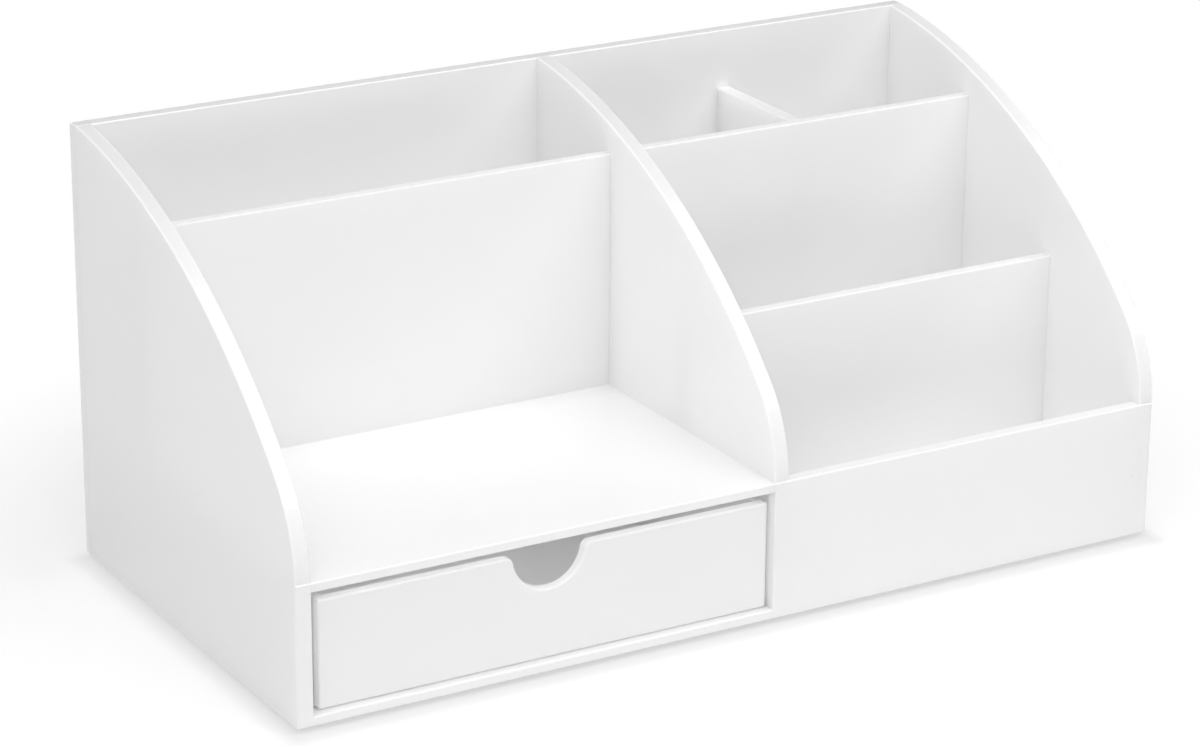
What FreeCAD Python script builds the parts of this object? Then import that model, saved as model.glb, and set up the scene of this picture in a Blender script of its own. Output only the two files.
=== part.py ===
import FreeCAD, Part
import math
import os

# Desk organizer of glued white acrylic sheet. An open shelf and a tall slot stand over a sliding drawer
# on the left; four open bays stand on the base on the right. Millimetres. X runs left to right,
# Y front to back, Z up. The origin is the centre of the footprint, on the surface the feet stand on.

# Overall sizes
width = 300.0                    # outside, left to right
depth = 150.0                    # outside, front to back
height = 140.0                   # underside of the base to the top of the back plate
front_height = 44.0              # underside of the base to the top of the front plate and the shelf

# Sheet thicknesses
side_thickness = 5.0             # left and right side panels
divider_thickness = 5.0          # tall divider between the two halves
back_thickness = 5.0
front_thickness = 4.0
base_thickness = 3.0
shelf_thickness = 3.0
partition_thickness = 4.0
pen_divider_thickness = 5.0

# Curved front edge of the side panels and the middle divider
front_radius = 42.0              # lower arc, upright where it meets the front plate
top_radius = 215.0               # upper arc, which ends at the back plate's top

# Bays
drawer_bay_width = 154.0         # left side panel to middle divider
rear_bay_depth = 43.0            # rear partitions to back plate
middle_bay_depth = 44.0          # right front partition to right rear partition
rear_partition_height = 120.5    # top edge above the underside of the base
front_partition_height = 79.0    # the same, for the low partition

# Drawer
drawer_height = 34.0
drawer_front_thickness = 3.0
drawer_side_thickness = 3.0
drawer_back_thickness = 3.0
drawer_floor_thickness = 3.0
drawer_recess = 2.5              # drawer front behind the front plate's face
drawer_gap_left = 3.0            # side play, most of it on the left
drawer_gap_right = 1.0
drawer_lift = 0.3                # sliding clearance over the base
drawer_stop_gap = 0.3            # closed drawer to the back plate
notch_radius = 12.0              # half-round finger notch in the drawer front
notch_corner_radius = 2.5        # rounding where the notch meets the top edge

# Feet and edges
foot_radius = 5.0
foot_height = 2.0
foot_inset_x = 16.0              # foot centre from the outside of the side panels
foot_inset_y = 16.0              # foot centre from the front and the back
foot_chamfer = 0.5
edge_chamfer = 0.5               # broken edge on every exposed sheet edge

# Levels
underside = foot_height
base_top = underside + base_thickness
shelf_top = underside + front_height
shelf_bottom = shelf_top - shelf_thickness
top = underside + height

# Planes from left to right
left = -width / 2
left_inner = left + side_thickness
divider_left = left_inner + drawer_bay_width
divider_right = divider_left + divider_thickness
right = width / 2
right_inner = right - side_thickness

# Planes from front to back
front = -depth / 2
front_inner = front + front_thickness
back = depth / 2
back_inner = back - back_thickness
rear_partition_back = back_inner - rear_bay_depth
rear_partition_front = rear_partition_back - partition_thickness
front_partition_back = rear_partition_front - middle_bay_depth
front_partition_front = front_partition_back - partition_thickness

# Planes of the drawer
drawer_left = left_inner + drawer_gap_left
drawer_right = divider_left - drawer_gap_right
drawer_front_face = front + drawer_recess
drawer_front_inner = drawer_front_face + drawer_front_thickness
drawer_back_face = back_inner - drawer_stop_gap
drawer_back_inner = drawer_back_face - drawer_back_thickness
drawer_bottom = base_top + drawer_lift
drawer_top = drawer_bottom + drawer_height

nearly = 1e-4                    # how close counts as lying on a plane


def vector(x, y, z):
    return FreeCAD.Vector(x, y, z)


def block(x_range, y_range, z_range):
    """A rectangular plate between pairs of planes."""
    sizes = [high - low for low, high in (x_range, y_range, z_range)]
    return Part.makeBox(*sizes, vector(x_range[0], y_range[0], z_range[0]))


def break_edges(plate, is_exposed):
    """Chamfer the edges of a plate whose middle point is exposed."""
    edges = []
    for edge in plate.Edges:
        middle = edge.valueAt((edge.FirstParameter + edge.LastParameter) / 2)
        if is_exposed(middle):
            edges.append(edge)
    return plate.makeChamfer(edge_chamfer, edges)


def on(value, plane):
    return abs(value - plane) < nearly


def upper_arc_centre():
    """Centre of the upper arc, in the YZ plane: it holds the lower arc inside it, touching it once,
    and passes through the front top edge of the back plate."""
    lower = vector(0, front + front_radius, shelf_top)
    end = vector(0, back_inner, top)
    span = end.sub(lower)
    distance = span.Length
    to_lower = top_radius - front_radius
    along = (to_lower ** 2 - top_radius ** 2 + distance ** 2) / (2 * distance)
    aside = math.sqrt(to_lower ** 2 - along ** 2)
    unit = span.multiply(1 / distance)
    square_to_it = vector(0, unit.z, -unit.y)
    return lower.add(unit.multiply(along)).add(square_to_it.multiply(aside))


def arched_plate(x_low, thickness, bottom):
    """An upright plate whose front edge curves back to the top, cut out at its foot for the front plate."""
    lower = vector(0, front + front_radius, shelf_top)
    upper = upper_arc_centre()
    outward = lower.sub(upper).normalize()
    meeting = upper.add(vector(0, outward.y, outward.z).multiply(top_radius))
    start = vector(0, front, shelf_top)
    end = vector(0, back_inner, top)

    rise = math.atan2(meeting.z - lower.z, lower.y - meeting.y)
    lower_middle = lower.add(vector(0, -math.cos(rise / 2), math.sin(rise / 2)).multiply(front_radius))
    upper_middle = meeting.add(end).multiply(0.5).sub(upper).normalize().multiply(top_radius).add(upper)

    corners = [end, vector(0, back_inner, bottom), vector(0, front_inner, bottom),
               vector(0, front_inner, shelf_top), start]
    edges = [Part.Arc(start, lower_middle, meeting).toShape(), Part.Arc(meeting, upper_middle, end).toShape()]
    for first, second in zip(corners, corners[1:]):
        edges.append(Part.makeLine(first, second))
    outline = Part.Wire(edges)
    plate = Part.Face(outline).extrude(vector(thickness, 0, 0))
    plate.translate(vector(x_low, 0, 0))

    def is_curved_front(point):
        on_a_face = on(point.x, x_low) or on(point.x, x_low + thickness)
        return on_a_face and point.z > shelf_top + nearly and point.y < back_inner - nearly

    return break_edges(plate, is_curved_front)


def front_plate():
    """The full-width front: a narrow strip on the left, a sill under the drawer and a deep right part."""
    outline = [(left, underside), (right, underside), (right, shelf_top), (divider_left, shelf_top),
               (divider_left, base_top), (left_inner, base_top), (left_inner, shelf_top), (left, shelf_top)]
    points = [vector(x, front, z) for x, z in outline + outline[:1]]
    plate = Part.Face(Part.makePolygon(points)).extrude(vector(0, front_thickness, 0))
    return break_edges(plate, lambda p: on(p.y, front) and p.x < right - nearly and p.x > left + nearly
                       and p.z > underside + nearly)


def partition(x_low, x_high, y_low, z_low, height_over_underside):
    """An upright plate across a bay, with its two top edges broken."""
    z_high = underside + height_over_underside
    plate = block((x_low, x_high), (y_low, y_low + partition_thickness), (z_low, z_high))
    return break_edges(plate, lambda p: on(p.z, z_high) and x_low + nearly < p.x < x_high - nearly)


def back_plate():
    plate = block((left, right), (back_inner, back), (underside, top))
    return break_edges(plate, lambda p: on(p.z, top) or (on(p.y, back) and abs(p.x) > right - nearly))


def shelf():
    plate = block((left_inner, divider_left), (front, back_inner), (shelf_bottom, shelf_top))
    return break_edges(plate, lambda p: on(p.y, front) and left_inner + nearly < p.x < divider_left - nearly)


def pen_divider():
    """A short plate that halves the rear right bay."""
    middle = (divider_right + right_inner) / 2
    x_low = middle - pen_divider_thickness / 2
    x_high = middle + pen_divider_thickness / 2
    z_high = underside + rear_partition_height
    plate = block((x_low, x_high), (rear_partition_back, back_inner), (base_top, z_high))
    return break_edges(plate, lambda p: on(p.z, z_high) and rear_partition_back + nearly < p.y < back_inner - nearly)


def notch_outline(middle):
    """Points and arcs of the finger notch, left to right along the drawer's top edge."""
    reach = math.sqrt((notch_radius + notch_corner_radius) ** 2 - notch_corner_radius ** 2)
    share = notch_radius / (notch_radius + notch_corner_radius)
    turn = math.acos(notch_corner_radius / (notch_radius + notch_corner_radius))
    y = drawer_front_face

    def corner(side):
        centre = vector(middle + side * reach, y, drawer_top - notch_corner_radius)
        on_top = vector(centre.x, y, drawer_top)
        half = vector(-side * math.sin(turn / 2), 0, math.cos(turn / 2)).multiply(notch_corner_radius)
        in_notch = vector(middle + side * reach * share, y, drawer_top - notch_corner_radius * share)
        return on_top, centre.add(half), in_notch

    left_top, left_half, left_low = corner(-1)
    right_top, right_half, right_low = corner(1)
    bottom = vector(middle, y, drawer_top - notch_radius)
    arcs = [Part.Arc(left_top, left_half, left_low), Part.Arc(left_low, bottom, right_low),
            Part.Arc(right_low, right_half, right_top)]
    return left_top, right_top, [arc.toShape() for arc in arcs]


def drawer_front():
    """The drawer's face, with a half-round notch for a finger in the middle of its top edge."""
    notch_left, notch_right, notch_edges = notch_outline((drawer_left + drawer_right) / 2)
    y = drawer_front_face
    top_left = vector(drawer_left, y, drawer_top)
    top_right = vector(drawer_right, y, drawer_top)
    bottom_right = vector(drawer_right, y, drawer_bottom)
    bottom_left = vector(drawer_left, y, drawer_bottom)
    edges = [Part.makeLine(top_left, notch_left), *notch_edges]
    for first, second in ((notch_right, top_right), (top_right, bottom_right),
                          (bottom_right, bottom_left), (bottom_left, top_left)):
        edges.append(Part.makeLine(first, second))
    plate = Part.Face(Part.Wire(edges)).extrude(vector(0, drawer_front_thickness, 0))
    return break_edges(plate, lambda p: on(p.y, drawer_front_face))


def drawer_box():
    """The four plates behind the drawer's face."""
    inner_left = drawer_left + drawer_side_thickness
    inner_right = drawer_right - drawer_side_thickness
    run = (drawer_front_inner, drawer_back_face)
    rise = (drawer_bottom, drawer_top)
    floor_rise = (drawer_bottom, drawer_bottom + drawer_floor_thickness)
    return {
        "drawer_left_side": block((drawer_left, inner_left), run, rise),
        "drawer_right_side": block((inner_right, drawer_right), run, rise),
        "drawer_back": block((inner_left, inner_right), (drawer_back_inner, drawer_back_face), rise),
        "drawer_floor": block((inner_left, inner_right), (drawer_front_inner, drawer_back_inner), floor_rise),
    }


def foot(x, y):
    """A round pad under the base, with its lower rim broken."""
    pad = Part.makeCylinder(foot_radius, foot_height, vector(x, y, 0))
    rim = [edge for edge in pad.Edges if on(edge.CenterOfMass.z, 0)]
    return pad.makeChamfer(foot_chamfer, rim)


def feet():
    pads = {}
    for row, y in (("front", front + foot_inset_y), ("back", back - foot_inset_y)):
        for side, x in (("left", left + foot_inset_x), ("right", right - foot_inset_x)):
            pads["foot_" + row + "_" + side] = foot(x, y)
    return pads


nodes = {
    "base_plate": block((left_inner, right_inner), (front_inner, back_inner), (underside, base_top)),
    "front_plate": front_plate(),
    "back_plate": back_plate(),
    "left_side_panel": arched_plate(left, side_thickness, underside),
    "right_side_panel": arched_plate(right_inner, side_thickness, underside),
    "middle_divider": arched_plate(divider_left, divider_thickness, base_top),
    "shelf": shelf(),
    "left_partition": partition(left_inner, divider_left, rear_partition_front, shelf_top,
                                rear_partition_height),
    "right_rear_partition": partition(divider_right, right_inner, rear_partition_front, base_top,
                                      rear_partition_height),
    "right_front_partition": partition(divider_right, right_inner, front_partition_front, base_top,
                                       front_partition_height),
    "pen_divider": pen_divider(),
    "drawer_front": drawer_front(),
}
nodes.update(drawer_box())
nodes.update(feet())

os.makedirs("parts", exist_ok=True)
for name, shape in nodes.items():
    shape.exportStep("parts/" + name + ".step")
    print(name, "valid", shape.isValid(), "solids", len(shape.Solids), "volume", round(shape.Volume, 1))
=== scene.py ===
"""White acrylic desk organizer with a drawer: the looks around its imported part, in metres.

Every glued sheet is remade with rounded, polished edges, and every foot as a moulded bumper.
X runs left to right, Y front to back and Z up, from the table under the feet.
"""
import math

import bpy
import numpy as np
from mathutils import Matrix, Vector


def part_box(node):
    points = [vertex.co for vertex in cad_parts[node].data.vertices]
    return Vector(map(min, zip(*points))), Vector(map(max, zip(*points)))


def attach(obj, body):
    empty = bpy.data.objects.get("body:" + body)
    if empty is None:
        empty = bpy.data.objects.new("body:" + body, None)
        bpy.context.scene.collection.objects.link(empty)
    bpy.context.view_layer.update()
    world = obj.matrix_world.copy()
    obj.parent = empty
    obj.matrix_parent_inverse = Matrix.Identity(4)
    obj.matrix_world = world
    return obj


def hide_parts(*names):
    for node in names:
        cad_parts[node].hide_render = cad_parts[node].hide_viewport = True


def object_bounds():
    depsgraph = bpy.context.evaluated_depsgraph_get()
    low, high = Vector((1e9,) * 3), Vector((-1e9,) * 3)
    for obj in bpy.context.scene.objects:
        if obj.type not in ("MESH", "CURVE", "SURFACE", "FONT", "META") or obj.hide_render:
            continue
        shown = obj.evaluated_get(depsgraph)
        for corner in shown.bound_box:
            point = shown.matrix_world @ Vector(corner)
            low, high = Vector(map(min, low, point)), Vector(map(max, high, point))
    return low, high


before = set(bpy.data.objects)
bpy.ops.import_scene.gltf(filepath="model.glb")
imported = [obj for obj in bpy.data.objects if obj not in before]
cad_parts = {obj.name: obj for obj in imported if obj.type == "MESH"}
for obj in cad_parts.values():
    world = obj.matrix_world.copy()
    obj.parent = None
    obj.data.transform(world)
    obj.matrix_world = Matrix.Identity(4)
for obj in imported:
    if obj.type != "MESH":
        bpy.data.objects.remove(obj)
cad_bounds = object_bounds()

# ---- sizes of the workmanship, in metres ----

FRONT_RADIUS = 0.042             # lower arc of the side panels and the middle divider
TOP_RADIUS = 0.215               # their upper arc
NOTCH_RADIUS = 0.012             # finger notch in the drawer's front
NOTCH_CORNER = 0.0025
SOFT_CORNER = 0.0008             # corner that is sanded round before it is polished
ROUNDED = 0.0005                 # flame-polished edge that a hand can reach
GLUED = 0.00012                  # edge that is glued to another sheet's face
FLUSH = 0.00001                  # edge sanded level with its neighbour
SET_BACK = 0.0004                # the arches stand this far behind the front plate's face
EDGE_STEPS = 4                   # facets across a rounded edge
LOWER_STEPS, UPPER_STEPS = 22, 44            # points along the arches' two arcs
NOTCH_STEPS, NOTCH_CORNER_STEPS = 34, 9      # points along the notch and each of its corners
BUMPER_STEPS, TREAD_STEPS = 48, 7            # points round a bumper and along its lower rim
TREAD_ROUND = 0.0008             # lower rim of a bumper foot
CROWN_BREAK = 0.0002             # its upper rim, against the base plate
NEARLY = 1e-6                    # how close counts as lying on a plane
MOSTLY = 0.5                     # how much of a unit direction along an axis counts as running that way
SMOOTH_TURN = math.radians(12)   # largest turn between two segments of one arc

X, Y, Z = 0, 1, 2
LIKE_FACE, POLISHED_WALL, SAWN_SHADED_WALL, LOW_FACE = 0, 1, 2, 3    # a sheet's material slots


# ---- shaders ----

def from_hex(code):
    """An sRGB hex colour as linear red, green, blue and full alpha."""
    values = [int(code[i:i + 2], 16) / 255 for i in (1, 3, 5)]
    return [v / 12.92 if v <= 0.04045 else ((v + 0.055) / 1.055) ** 2.4 for v in values] + [1.0]


def add(tree, kind, inputs=None, **settings):
    """Adds a shader node with its settings. Each input is a plain value, or the socket that feeds it."""
    made = tree.nodes.new("ShaderNode" + kind)
    for name, value in settings.items():
        setattr(made, name, value)
    for name, value in (inputs or {}).items():
        if isinstance(value, bpy.types.NodeSocket):
            tree.links.new(value, made.inputs[name])
        else:
            made.inputs[name].default_value = value
    return made


def new_material(name):
    """A material with an empty tree, and the tree."""
    made = bpy.data.materials.new(name)
    made.use_nodes = True
    made.node_tree.nodes.clear()
    return made, made.node_tree


def finish_surface(tree, shader):
    """Makes a shader the look of the material's surface."""
    add(tree, "OutputMaterial", {"Surface": shader.outputs[0]})


def let_light_through(tree, surface, share):
    """The sheet's surface, mixed with the share of light that a milky sheet spreads through to its other face.
    Light that has entered leaves whole, so the backs of faces pass all of it."""
    passed = add(tree, "BsdfTranslucent", {"Color": from_hex("#fcfcfc")})
    inside = add(tree, "NewGeometry").outputs["Backfacing"]
    amount = add(tree, "MapRange", {"Value": inside, "To Min": share, "To Max": 1.0})
    return add(tree, "MixShader", {0: amount.outputs[0], 1: surface.outputs[0], 2: passed.outputs[0]})


def cast_acrylic(name, tone, cloud_tone, share):
    """Opal white cell-cast acrylic sheet, its face as it came from under the protective film.
    The eye sees an even milky white, a clean reflection that wavers slightly because cast sheet is never quite flat,
    faint handling smears in the gloss, and a rare speck of dust."""
    made, tree = new_material(name)
    place = add(tree, "TexCoord").outputs["Object"]
    # clouds 55 mm across in the white, and smears 18 mm across in the gloss
    clouds = add(tree, "TexNoise", {"Vector": place, "Scale": 1 / 0.055, "Detail": 2.0, "Roughness": 0.4})
    smears = add(tree, "TexNoise", {"Vector": place, "Scale": 1 / 0.018, "Detail": 5.0, "Roughness": 0.62,
                                    "Distortion": 0.8})
    specks = add(tree, "TexVoronoi", {"Vector": place, "Scale": 1 / 0.016, "Randomness": 1.0})
    # dust specks about 0.3 mm across, one to each 16 mm or so
    dust = add(tree, "MapRange", {"Value": specks.outputs["Distance"], "From Min": 0.006, "From Max": 0.014,
                                  "To Min": 1.0, "To Max": 0.0})
    body = add(tree, "Mix", {"Factor": clouds.outputs[0], 6: from_hex(tone), 7: from_hex(cloud_tone)},
               data_type="RGBA")
    dusty = add(tree, "Mix", {"Factor": dust.outputs[0], 6: body.outputs[2], 7: from_hex("#d9d9d9")},
                data_type="RGBA")
    gloss = add(tree, "MapRange", {"Value": smears.outputs[0], "From Min": 0.35, "From Max": 0.7,
                                   "To Min": 0.055, "To Max": 0.12})
    # casting waviness: hills 30 mm across and 0.01 mm high
    waves = add(tree, "TexNoise", {"Vector": place, "Scale": 1 / 0.03, "Detail": 1.0})
    wavy = add(tree, "Bump", {"Height": waves.outputs[0], "Distance": 0.00001, "Strength": 1.0})
    shader = add(tree, "BsdfPrincipled", {
        "Base Color": dusty.outputs[2], "Roughness": gloss.outputs[0], "Normal": wavy.outputs[0],
        "IOR": 1.49})
    finish_surface(tree, let_light_through(tree, shader, share))
    return made


def cut_edge(name, tone, across, roughness, depth, share, shade_between=None):
    """The cut edge of the same sheet, with fine tool marks that run from face to face along one axis.
    Polished, it shines as the faces do and the marks only soften the reflection; sawn, it is duller, and its greyer
    tone is painted shade.
    Between the two given heights, a polished edge is painted greyer towards the top: painted shade for the darker
    upper rims of the arches."""
    made, tree = new_material(name)
    place = add(tree, "TexCoord").outputs["Object"]
    # tool marks 0.3 mm apart: noise drawn out 40 times along the sheet's thickness
    stretch = [1 / 0.0003] * 3
    stretch[across] = 1 / 0.012
    marks = add(tree, "TexNoise", {"Vector": add(tree, "Mapping", {"Vector": place, "Scale": stretch}).outputs[0],
                                   "Scale": 1.0, "Detail": 2.0})
    clouds = add(tree, "TexNoise", {"Vector": place, "Scale": 1 / 0.02, "Detail": 3.0})
    colour = add(tree, "Mix", {"Factor": clouds.outputs[0], 6: from_hex(tone[0]), 7: from_hex(tone[1])},
                 data_type="RGBA")
    if shade_between:
        # painted shade: the edge turns greyer with height, so the arches' upper rims look darker
        height = add(tree, "SeparateXYZ", {0: place}).outputs["Z"]
        arch_shade = add(tree, "MapRange", {"Value": height, "From Min": shade_between[0], "From Max": shade_between[1]})
        colour = add(tree, "Mix", {"Factor": arch_shade.outputs[0], 6: colour.outputs[2], 7: from_hex("#e6e6e6")},
                     data_type="RGBA")
    gloss = add(tree, "MapRange", {"Value": marks.outputs[0], "From Min": 0.3, "From Max": 0.7,
                                   "To Min": roughness[0], "To Max": roughness[1]})
    scored = add(tree, "Bump", {"Height": marks.outputs[0], "Distance": depth, "Strength": 1.0})
    shader = add(tree, "BsdfPrincipled", {
        "Base Color": colour.outputs[2], "Roughness": gloss.outputs[0], "Normal": scored.outputs[0],
        "IOR": 1.49})
    finish_surface(tree, let_light_through(tree, shader, share))
    return made


def bumper_rubber(name):
    """Moulded polyurethane bumper, milky and soft: a satin skin with a fine moulded grain,
    a little dulled by dust."""
    made, tree = new_material(name)
    place = add(tree, "TexCoord").outputs["Object"]
    dust = add(tree, "TexNoise", {"Vector": place, "Scale": 1 / 0.0015, "Detail": 4.0})
    colour = add(tree, "Mix", {"Factor": dust.outputs[0], 6: from_hex("#e4e4e0"), 7: from_hex("#cfcfca")},
                 data_type="RGBA")
    grain = add(tree, "TexNoise", {"Vector": place, "Scale": 1 / 0.0002, "Detail": 1.0})
    grained = add(tree, "Bump", {"Height": grain.outputs[0], "Distance": 0.00001, "Strength": 1.0})
    shader = add(tree, "BsdfPrincipled", {
        "Base Color": colour.outputs[2], "Roughness": 0.45, "Normal": grained.outputs[0], "IOR": 1.5,
        "Subsurface Weight": 0.3, "Subsurface Scale": 0.001, "Subsurface Radius": (1.0, 1.0, 0.95)})
    finish_surface(tree, shader)
    return made


# ---- meshes ----

def on_circle(centre, radius, start, end, steps):
    """Points of an arc: centre + radius (cos t, sin t), with t running evenly from start to end."""
    t = np.linspace(start, end, steps)
    return np.asarray(centre) + radius * np.stack([np.cos(t), np.sin(t)], axis=1)


def rectangle(low, high):
    """Four corners of a rectangle in its own plane."""
    return np.array([(low[0], low[1]), (high[0], low[1]), (high[0], high[1]), (low[0], high[1])])


def keep_object(name, vertices, faces, slots, materials, body, node):
    """Puts arrays of points and faces into a mesh that rides on a body in place of a CAD node."""
    mesh = bpy.data.meshes.new(name)
    mesh.from_pydata(vertices.tolist(), [], faces)
    for material in materials:
        mesh.materials.append(material)
    mesh.polygons.foreach_set("material_index", np.asarray(slots, np.int32))
    mesh.polygons.foreach_set("use_smooth", np.ones(len(faces), bool))
    mesh.update()
    made = bpy.data.objects.new(name, mesh)
    bpy.context.scene.collection.objects.link(made)
    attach(made, body)
    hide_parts(node)
    return made


def turn_at_points(outline):
    """Angle that a closed outline turns through at each of its points."""
    before = outline - np.roll(outline, 1, axis=0)
    after = np.roll(outline, -1, axis=0) - outline
    cross = before[:, 0] * after[:, 1] - before[:, 1] * after[:, 0]
    return np.arctan2(cross, (before * after).sum(axis=1))


def sheet_plate(node, outline, across, span, rounding, edge_kind=None, rim=None):
    """A sheet: its outline, a closed loop in the sheet's own plane, carried straight from face to face.
    Point (i, k) is outline point i moved to level k of the span along the axis across the sheet.
    rounding(middle, run) gives each edge's radius from its middle point and its unit direction, and
    edge_kind(middle) tells the side walls apart: LIKE_FACE, POLISHED_WALL or SAWN_SHADED_WALL. The sheet's low and high
    faces may be of two finishes, and rim names the polish where it isn't the body's own."""
    body = "drawer" if node.startswith("drawer") else "body"
    outline = np.asarray(outline, float)
    following = np.roll(outline, -1, axis=0)
    twice_area = (outline[:, 0] * following[:, 1] - following[:, 0] * outline[:, 1]).sum()
    # the loop runs so that every face looks outwards
    if (twice_area > 0) == (across == Y):
        outline = outline[::-1]
    count = len(outline)
    vertices = np.concatenate([np.insert(outline, across, level, axis=1) for level in span])
    ring = np.arange(count)
    ahead = np.roll(ring, -1)
    walls = np.stack([ring, ahead, ahead + count, ring + count], axis=1)
    faces = [ring[::-1].tolist(), (ring + count).tolist()] + walls.tolist()
    kinds = edge_kind(vertices[walls].mean(axis=1)) if edge_kind else np.full(count, POLISHED_WALL)
    slots = [LOW_FACE, LIKE_FACE] + kinds.tolist()
    face = SHEETS.get(node, SHEETS[body])
    materials = [face, POLISHED[rim or body, across], SAWN_AND_SHADE, SHEETS.get(node + "_underside", face)]
    made = keep_object(node + "_sheet", vertices, faces, slots, materials, body, node)
    mesh = made.data

    ends = np.empty(len(mesh.edges) * 2, np.int32)
    mesh.edges.foreach_get("vertices", ends)
    first, second = vertices[ends[::2]], vertices[ends[1::2]]
    run = second - first
    run /= np.linalg.norm(run, axis=1, keepdims=True)
    radius = rounding((first + second) / 2, run)
    # edges that run across the sheet between two segments of one arc stay as they are
    smooth = np.abs(turn_at_points(outline)) < SMOOTH_TURN
    runs_across = np.abs(run[:, across]) > MOSTLY
    radius = np.where(runs_across & smooth[ends[::2] % count], 0.0, radius)
    weight = mesh.attributes.new("bevel_weight_edge", "FLOAT", "EDGE")
    weight.data.foreach_set("value", (radius / SOFT_CORNER).astype(np.float32))
    edge = made.modifiers.new("rounded_edges", "BEVEL")
    edge.limit_method = "WEIGHT"
    edge.width = SOFT_CORNER
    edge.segments = EDGE_STEPS
    edge.use_clamp_overlap = True
    edge.harden_normals = True
    edge.material = LIKE_FACE


def near(values, plane):
    """Which of the values lie on a plane."""
    return np.abs(values - plane) < NEARLY


# ---- finishes ----

# share of the light on each sheet that comes out of its other face: a named sheet's own, or else its body's
LIGHT_THROUGH = {"body": 0.05, "right_side_panel": 0.1, "back_plate": 0.04, "left_partition": 0.06,
                 "middle_divider": 0.12, "pen_divider": 0.35, "shelf": 0.06, "shelf_underside": 0.26,
                 "drawer_front": 0.06, "drawer": 0.04}
# the same for the polished edges of the body's sheets, of its three arches and of the drawer
EDGE_LIGHT = {"body": 0.1, "arch": 0.1, "drawer": 0.7}
ARCH_SHADE_HEIGHTS = (0.112, 0.134)    # heights between which the arches' rims are painted greyer, as painted shade
# tone of a sheet and of its clouds; two sheets, the left partition and the back plate, are painted slightly greyer
# as painted shade
SHADED_SHEET_TONES = {"left_partition": ("#f7f7f7", "#f5f5f5"), "back_plate": ("#f8f8f8", "#f6f6f6")}
SHEETS = {name: cast_acrylic("opal_cast_acrylic_" + name, *SHADED_SHEET_TONES.get(name, ("#fbfbfb", "#f9f9f9")), share)
          for name, share in LIGHT_THROUGH.items()}
POLISHED = {(part, axis): cut_edge("polished_edge_" + part + "_" + "xyz"[axis], ("#f8f8f8", "#f5f5f5"), axis,
                                   (0.07, 0.14), 0.000002, share, ARCH_SHADE_HEIGHTS if part == "arch" else None)
            for part, share in EDGE_LIGHT.items() for axis in ((X,) if part == "arch" else (X, Y, Z))}
# the sawn edge's grey tone is painted shade for the darker top of the back plate; its roughness and tool marks are
# the saw's
SAWN_AND_SHADE = cut_edge("sawn_edge_painted_shade", ("#d1d1d1", "#cbcbcb"), Y, (0.4, 0.55), 0.00002, 0.1)
BUMPER = bumper_rubber("milky_bumper_rubber")

# ---- planes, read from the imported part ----

low, high = cad_bounds
left, front, _ = low
right, back, top = high
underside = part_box("base_plate")[0].z
base_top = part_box("base_plate")[1].z
shelf_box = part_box("shelf")
shelf_top = shelf_box[1].z
back_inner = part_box("back_plate")[0].y
front_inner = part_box("front_plate")[1].y
left_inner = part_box("left_side_panel")[1].x
divider_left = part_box("middle_divider")[0].x


# ---- the sheets of the body ----

def arch_outline(bottom):
    """Outline of a side panel or the middle divider in the YZ plane. The lower arc starts upright at the front
    plate's top. The upper arc runs on from it without a corner and ends at the back plate's top: its centre is
    TOP_RADIUS - FRONT_RADIUS from the lower arc's centre and TOP_RADIUS from the end."""
    start = front + SET_BACK
    lower = np.array([start + FRONT_RADIUS, shelf_top])
    end = np.array([back_inner, top])
    span = end - lower
    distance = np.hypot(*span)
    reach = TOP_RADIUS - FRONT_RADIUS
    along = (reach ** 2 - TOP_RADIUS ** 2 + distance ** 2) / (2 * distance)
    aside = math.sqrt(reach ** 2 - along ** 2)
    unit = span / distance
    upper = lower + unit * along + np.array([unit[1], -unit[0]]) * aside
    outward = math.atan2(*(lower - upper)[::-1])
    finish_angle = math.atan2(*(end - upper)[::-1])
    low_arc = on_circle(lower, FRONT_RADIUS, math.pi, outward, LOWER_STEPS)
    high_arc = on_circle(upper, TOP_RADIUS, outward, finish_angle, UPPER_STEPS)
    foot = [(back_inner, bottom), (front_inner, bottom), (front_inner, shelf_top)]
    return np.concatenate([low_arc, high_arc[1:], foot])


def arch_rounding(middle, run):
    """The curved front rims are polished round; the rest is glued or sanded level."""
    on_curve = (middle[:, Z] > shelf_top + NEARLY) & (middle[:, Y] < back_inner - NEARLY)
    rim = np.abs(run[:, X]) < MOSTLY
    return np.where(on_curve & rim, ROUNDED, FLUSH)


def front_rounding(middle, run):
    """The front plate's front edges are polished round, most at the two outer corners. Its ends are sanded level
    with the side panels, and its seams with the shelf's front edge."""
    upright = np.abs(run[:, Z]) > MOSTLY
    corner = upright & (np.abs(middle[:, X]) > right - NEARLY)
    seam = upright & (middle[:, Z] > shelf_box[0].z)
    return np.where(near(middle[:, Y], front) & ~seam, np.where(corner, SOFT_CORNER, ROUNDED), FLUSH)


def outer_ends(middle):
    """The two ends are sanded and polished with the side panels, so they look like their faces.
    The top of the back plate is left as sawn, and its grey is painted shade."""
    at_end = np.abs(middle[:, X]) > right - NEARLY
    return np.where(at_end, LIKE_FACE, np.where(near(middle[:, Z], top), SAWN_SHADED_WALL, POLISHED_WALL))


def partition_rounding(summit):
    """A partition's two top rims are polished round, and the rims glued to the panels are only broken."""
    def rounding(middle, run):
        rim = near(middle[:, Z], summit) & (np.abs(run[:, X]) > MOSTLY)
        upright = np.abs(run[:, Z]) > MOSTLY
        return np.where(rim, ROUNDED, np.where(upright, GLUED, FLUSH))
    return rounding


arch_spans = {"left_side_panel": underside, "right_side_panel": underside, "middle_divider": base_top}
for node, bottom in arch_spans.items():
    node_low, node_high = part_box(node)
    sheet_plate(node, arch_outline(bottom), X, (node_low.x, node_high.x), arch_rounding, rim="arch")

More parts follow.
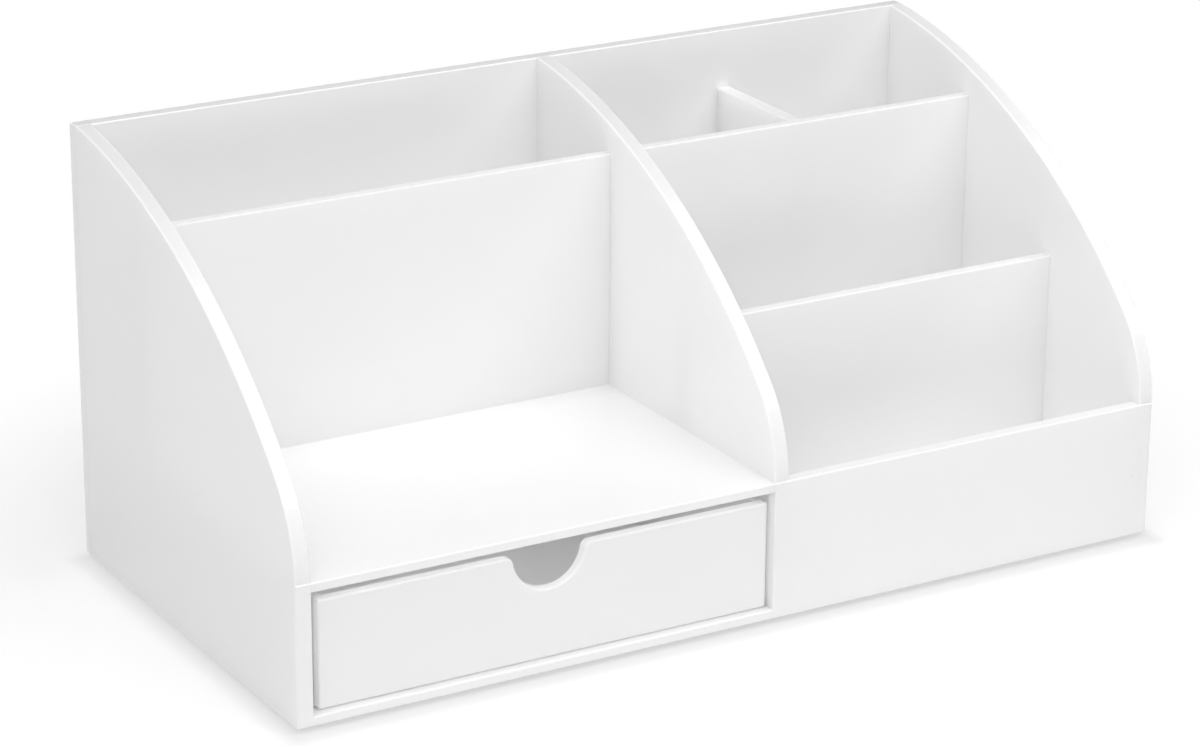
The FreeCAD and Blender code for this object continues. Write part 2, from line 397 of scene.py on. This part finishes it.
front_outline = [(left, underside), (right, underside), (right, shelf_top), (divider_left, shelf_top),
                 (divider_left, shelf_box[0].z), (divider_left, base_top), (left_inner, base_top),
                 (left_inner, shelf_box[0].z), (left_inner, shelf_top), (left, shelf_top)]
sheet_plate("front_plate", front_outline, Y, (front, front_inner), front_rounding, outer_ends)

sheet_plate("back_plate", rectangle((left, underside), (right, top)), Y, (back_inner, back),
            lambda middle, run: np.where(near(middle[:, Z], top) | (near(middle[:, Y], back)
                                         & (np.abs(middle[:, X]) > right - NEARLY)), ROUNDED, FLUSH),
            outer_ends)

for node in ("left_partition", "right_rear_partition", "right_front_partition"):
    node_low, node_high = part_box(node)
    sheet_plate(node, rectangle((node_low.x, node_low.z), (node_high.x, node_high.z)), Y,
                (node_low.y, node_high.y), partition_rounding(node_high.z))

node_low, node_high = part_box("pen_divider")
sheet_plate("pen_divider", rectangle((node_low.y, node_low.z), (node_high.y, node_high.z)), X,
            (node_low.x, node_high.x),
            lambda middle, run: np.where(near(middle[:, Z], node_high.z) & (np.abs(run[:, Y]) > MOSTLY), ROUNDED,
                                         np.where(np.abs(run[:, Z]) > MOSTLY, GLUED, FLUSH)))

sheet_plate("shelf", rectangle((shelf_box[0].x, shelf_box[0].y), (shelf_box[1].x, shelf_box[1].y)), Z,
            (shelf_box[0].z, shelf_box[1].z),
            lambda middle, run: np.where(near(middle[:, Y], front) & (np.abs(run[:, X]) > MOSTLY), ROUNDED, FLUSH))

base_low, base_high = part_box("base_plate")
sheet_plate("base_plate", rectangle((base_low.x, base_low.y), (base_high.x, base_high.y)), Z,
            (base_low.z, base_high.z), lambda middle, run: np.full(len(middle), FLUSH))


# ---- the drawer ----

def drawer_front_outline(box_low, box_high):
    """The drawer front in the XZ plane, with a half-round notch in the middle of its top edge.
    Each corner arc touches the top edge and the notch: its centre is one corner radius below the edge
    and the sum of the two radii from the notch's centre."""
    middle = (box_low.x + box_high.x) / 2
    total = NOTCH_RADIUS + NOTCH_CORNER
    reach = math.sqrt(total ** 2 - NOTCH_CORNER ** 2)
    dip = math.asin(NOTCH_CORNER / total)
    edge = box_high.z
    right_corner = on_circle((middle + reach, edge - NOTCH_CORNER), NOTCH_CORNER,
                             math.pi / 2, math.pi - dip, NOTCH_CORNER_STEPS)
    bowl = on_circle((middle, edge), NOTCH_RADIUS, -dip, dip - math.pi, NOTCH_STEPS)
    left_corner = on_circle((middle - reach, edge - NOTCH_CORNER), NOTCH_CORNER,
                            dip, math.pi / 2, NOTCH_CORNER_STEPS)
    corners = rectangle((box_low.x, box_low.z), (box_high.x, box_high.z))
    return np.concatenate([corners[:3], right_corner, bowl[1:], left_corner[1:], corners[3:]])


def drawer_front_rounding(middle, run):
    """The drawer front's four corners and its front edges are sanded round, because hands pull at them."""
    return np.where((np.abs(run[:, Y]) > MOSTLY) | near(middle[:, Y], front_low.y), SOFT_CORNER, GLUED)


front_low, front_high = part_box("drawer_front")
sheet_plate("drawer_front", drawer_front_outline(front_low, front_high), Y,
            (front_low.y, front_high.y), drawer_front_rounding)
for node, across in (("drawer_left_side", X), ("drawer_right_side", X), ("drawer_back", Y), ("drawer_floor", Z)):
    corners = np.array(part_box(node))
    plane = [axis for axis in (X, Y, Z) if axis != across]
    summit = corners[1][Z]
    sheet_plate(node, rectangle(corners[0][plane], corners[1][plane]), across, corners[:, across],
                lambda middle, run, summit=summit: np.where(near(middle[:, Z], summit), ROUNDED, GLUED))


# ---- the feet ----

def bumper(node):
    """A round bumper: its profile, a flat tread, a quarter round and an upright wall, carried round the foot's axis.
    Point (i, k) is profile point k, (r, z), at (r cos t, r sin t, z) with t = 2 pi i / count."""
    node_low, node_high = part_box(node)
    centre = (node_low + node_high) / 2
    radius = (node_high.x - node_low.x) / 2
    quarter = on_circle((radius - TREAD_ROUND, TREAD_ROUND), TREAD_ROUND, -math.pi / 2, 0, TREAD_STEPS)
    crown_rim = [(radius, node_high.z - CROWN_BREAK), (radius - CROWN_BREAK, node_high.z)]
    profile = np.concatenate([quarter, crown_rim])
    count, levels = BUMPER_STEPS, len(profile)
    turn = np.arange(count) * 2 * math.pi / count
    ring_x = centre.x + np.outer(np.cos(turn), profile[:, 0])
    ring_y = centre.y + np.outer(np.sin(turn), profile[:, 0])
    ring_z = np.broadcast_to(profile[:, 1], (count, levels))
    vertices = np.stack([ring_x, ring_y, ring_z], axis=2).reshape(-1, 3)
    i, k = np.meshgrid(np.arange(count), np.arange(levels - 1), indexing="ij")
    here, ahead = i * levels + k, (i + 1) % count * levels + k
    walls = np.stack([here, ahead, ahead + 1, here + 1], axis=2).reshape(-1, 4)
    tread = (np.arange(count)[::-1] * levels).tolist()
    crown = (np.arange(count) * levels + levels - 1).tolist()
    faces = walls.tolist() + [tread, crown]
    made = keep_object(node + "_bumper", vertices, faces, [0] * len(faces), [BUMPER], "body", node)


for node in ("foot_front_left", "foot_front_right", "foot_back_left", "foot_back_right"):
    bumper(node)


# ---- studio ----

WHITE = (1.0, 1.0, 1.0, 1.0)
FLOOR_GLOW = 0.55                    # lift of the floor as it is seen
CONTACT_SHIFT = (0.0, 0.0015, 0.0)   # the painted contact shadow lies a little to the front
CONTACT_REACH = 0.009                # how far it reaches beyond the footprint
PAINTED_CONTACT_TONES = (0.33, 0.5)          # share of the lamps' light answered at the footprint and beyond the reach; the lower share at the footprint is a painted contact shadow
SHADOW_CIRCLES = (0.1872, 0.252)     # radii between which the whole shadow fades out
AIR_LEVELS = (0.7, 0.08)             # soft light from straight left, and from the whole right half
SOFTBOXES = (                        # name, place, point that it faces, width and height, watts
    ("overhead_softbox", (0.0, -0.179, 1.0), (0.0, -0.179, 0.0), (2.1, 0.652), 6.0),
    ("key_softbox", (0.0, -1.0, 1.15), (0.0, -0.02, 0.05), (2.4, 0.6), 13.75),
    ("low_back_softbox", (0.35, 1.2, 0.22), (0.05, 0.075, 0.1), (1.0, 0.4), 2.3),
)
LENS = 118.074                       # millimetres, on a frame 36 mm wide
CAMERA_PLACE = (-0.58791, -0.9882, 0.47962)
CAMERA_TURN = (69.8927, -0.3917, -30.2648)    # degrees


def studio_floor():
    """A white sweep under the organizer. Lamps and bounced light meet plain white paint; what is seen of it,
    straight or mirrored, is lifted to the white of the background, and the shadow stays on it, with a painted
    contact shadow added close to the footprint."""
    mesh = bpy.data.meshes.new("studio_floor")
    mesh.from_pydata([(-6, -6, 0), (6, -6, 0), (6, 6, 0), (-6, 6, 0)], [], [(0, 1, 2, 3)])
    floor = bpy.data.objects.new("studio_floor", mesh)
    bpy.context.scene.collection.objects.link(floor)
    made, tree = new_material("white_studio_paper")
    place = add(tree, "TexCoord").outputs["Object"]
    paper = add(tree, "BsdfDiffuse", {"Color": from_hex("#f4f4f4")})
    # close to the footprint the paper is painted darker: a painted contact shadow over the real one
    shifted = add(tree, "Mapping", {"Vector": place, "Location": CONTACT_SHIFT})
    side = add(tree, "VectorMath", {0: shifted.outputs[0]}, operation="ABSOLUTE")
    beyond = add(tree, "VectorMath", {0: side.outputs[0], 1: (right, back, 0.0)}, operation="SUBTRACT")
    outside = add(tree, "VectorMath", {0: beyond.outputs[0], 1: (0.0, 0.0, 0.0)}, operation="MAXIMUM")
    gap = add(tree, "VectorMath", {0: outside.outputs[0]}, operation="LENGTH").outputs["Value"]
    painted_contact_shade = add(tree, "MapRange", {"Value": gap, "From Max": CONTACT_REACH, "To Min": PAINTED_CONTACT_TONES[0],
                                    "To Max": PAINTED_CONTACT_TONES[1]}, interpolation_type="SMOOTHSTEP")
    dim = add(tree, "BsdfDiffuse", {"Color": painted_contact_shade.outputs[0]})
    glow = add(tree, "Emission", {"Color": WHITE, "Strength": FLOOR_GLOW})
    lifted = add(tree, "AddShader", {0: dim.outputs[0], 1: glow.outputs[0]})
    # the shadow fades into plain white between two circles round the organizer
    flat = add(tree, "VectorMath", {0: place, 1: (1.0, 1.0, 0.0)}, operation="MULTIPLY")
    reach = add(tree, "VectorMath", {0: flat.outputs[0]}, operation="LENGTH").outputs["Value"]
    faded = add(tree, "MapRange", {"Value": reach, "From Min": SHADOW_CIRCLES[0], "From Max": SHADOW_CIRCLES[1]})
    white = add(tree, "Emission", {"Color": WHITE, "Strength": 1.0})
    shown = add(tree, "MixShader", {0: faded.outputs[0], 1: lifted.outputs[0], 2: white.outputs[0]})
    seen = background_rays(tree)
    finish_surface(tree, add(tree, "MixShader", {0: seen, 1: paper.outputs[0], 2: shown.outputs[0]}))
    mesh.materials.append(made)


def background_rays(tree):
    """1 for rays that show the background: camera, mirror and see-through rays."""
    rays = add(tree, "LightPath").outputs
    seen = add(tree, "Math", {0: rays["Is Camera Ray"], 1: rays["Is Glossy Ray"]}, operation="MAXIMUM")
    return add(tree, "Math", {0: seen.outputs[0], 1: rays["Is Transmission Ray"]}, operation="MAXIMUM").outputs[0]


def studio_air():
    """Soft light from all round, stronger from the left where a white wall stands, and a plain white background."""
    world = bpy.data.worlds.new("studio_air")
    world.use_nodes = True
    tree = world.node_tree
    tree.nodes.clear()
    toward = add(tree, "SeparateXYZ", {0: add(tree, "TexCoord").outputs["Generated"]})
    level = add(tree, "MapRange", {"Value": toward.outputs["X"], "From Min": -1.0, "From Max": 0.0,
                                   "To Min": AIR_LEVELS[0], "To Max": AIR_LEVELS[1]})
    ambient = add(tree, "Background", {"Color": WHITE, "Strength": level.outputs[0]})
    white = add(tree, "Background", {"Color": WHITE, "Strength": 1.0})
    mixed = add(tree, "MixShader", {0: background_rays(tree), 1: ambient.outputs[0], 2: white.outputs[0]})
    add(tree, "OutputWorld", {"Surface": mixed.outputs[0]})
    bpy.context.scene.world = world


def softbox(name, place, aim, size, power):
    """A rectangular lamp at a place, turned to face a point, its first side level."""
    data = bpy.data.lights.new(name, "AREA")
    data.shape = "RECTANGLE"
    data.size, data.size_y = size
    data.energy = power
    lamp = bpy.data.objects.new(name, data)
    bpy.context.scene.collection.objects.link(lamp)
    away = np.array(place, float) - np.array(aim, float)
    away /= np.linalg.norm(away)
    tilt = math.acos(away[2])
    heading = math.atan2(away[0], -away[1]) if tilt > NEARLY else 0.0
    lamp.location = place
    lamp.rotation_euler = (tilt, 0.0, heading)


def camera():
    """The camera, in front of the organizer, to its left and above it, with a slight roll."""
    data = bpy.data.cameras.new("studio_camera")
    data.sensor_width = 36.0
    data.lens = LENS
    made = bpy.data.objects.new("studio_camera", data)
    bpy.context.scene.collection.objects.link(made)
    made.location = CAMERA_PLACE
    made.rotation_euler = [math.radians(angle) for angle in CAMERA_TURN]
    bpy.context.scene.camera = made


studio_floor()
studio_air()
for row in SOFTBOXES:
    softbox(*row)
camera()
bpy.context.scene.view_settings.view_transform = "Standard"
